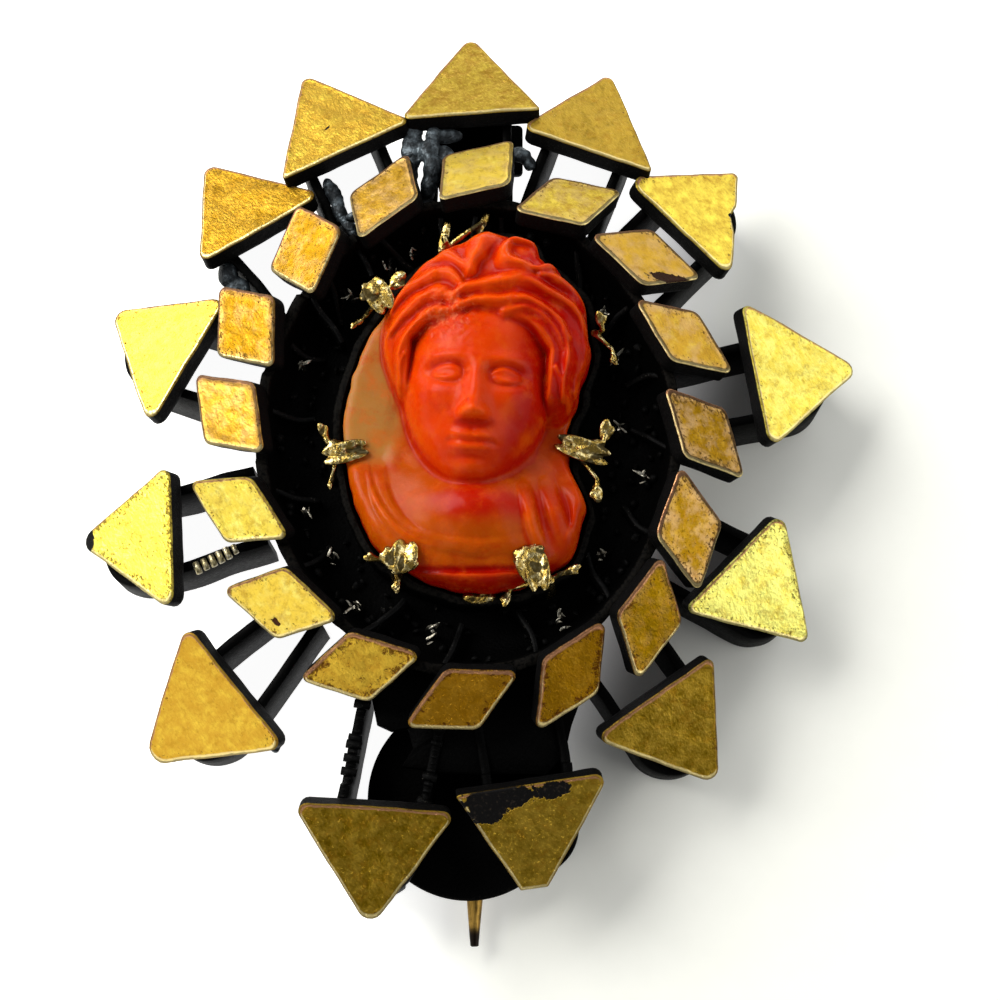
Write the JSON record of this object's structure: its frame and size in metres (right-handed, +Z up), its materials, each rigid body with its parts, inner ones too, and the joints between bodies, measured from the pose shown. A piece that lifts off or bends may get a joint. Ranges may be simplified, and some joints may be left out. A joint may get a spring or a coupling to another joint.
{
  "type": "cameo brooch",
  "caption": "Oval brooch with a carved coral head in a claw setting, inside rings of gilt triangle and lozenge plate studs on black strip loops, with a hinged pin.",
  "frame": {"origin": "on the surface it lies on, under the middle of the brooch's bounding box", "axes": "+Z up, out of the front; +Y towards the top of the carved head; +X to its right"},
  "size_m": [0.0366, 0.0441, 0.0107],
  "materials": {
    "gilt_plate": "satin gilt, worn at the edges",
    "black_metal": "blackened, satin",
    "old_gold": "bright, pitted",
    "coral": "polished, translucent",
    "grey_solder": "dull, lumpy",
    "gilt_pin": "tarnished gilt"
  },
  "bodies": {
    "frame": {"triangle_01": "gilt_plate", "triangle_02": "gilt_plate", "triangle_03": "gilt_plate", "triangle_04": "gilt_plate", "triangle_05": "gilt_plate", "triangle_06": "gilt_plate", "triangle_07": "gilt_plate", "triangle_08": "gilt_plate", "triangle_09": "gilt_plate", "triangle_10": "gilt_plate", "triangle_11": "gilt_plate", "triangle_12": "gilt_plate", "triangle_13": "gilt_plate", "lozenge_01": "gilt_plate", "lozenge_02": "gilt_plate", "lozenge_03": "gilt_plate", "lozenge_04": "gilt_plate", "lozenge_05": "gilt_plate", "lozenge_06": "gilt_plate", "lozenge_07": "gilt_plate", "lozenge_08": "gilt_plate", "lozenge_09": "gilt_plate", "lozenge_10": "gilt_plate", "lozenge_11": "gilt_plate", "lozenge_12": "gilt_plate", "lozenge_13": "gilt_plate", "lozenge_14": "gilt_plate", "lozenge_15": "gilt_plate", "lozenge_16": "gilt_plate", "loop_01": "black_metal", "loop_02": "black_metal", "loop_03": "black_metal", "loop_04": "black_metal", "loop_05": "black_metal", "loop_06": "black_metal", "loop_07": "black_metal", "loop_08": "black_metal", "loop_09": "black_metal", "loop_10": "black_metal", "loop_11": "black_metal", "loop_12": "black_metal", "loop_13": "black_metal", "cup": "black_metal", "cameo": "coral", "cameo_setting": "old_gold", "solder_repair": "grey_solder", "catch_plate": "black_metal", "hinge_plate": "black_metal"},
    "pin": {"pin_stem": "gilt_pin"}
  },
  "joints": [
    {"name": "pin_hinge", "type": "hinge", "parent": "frame", "child": "pin", "pos_m": [0.00015, 0.01655, 0.0011], "axis": [0.7071, 0, 0.7071], "range_deg": [0, 60]}
  ]
}
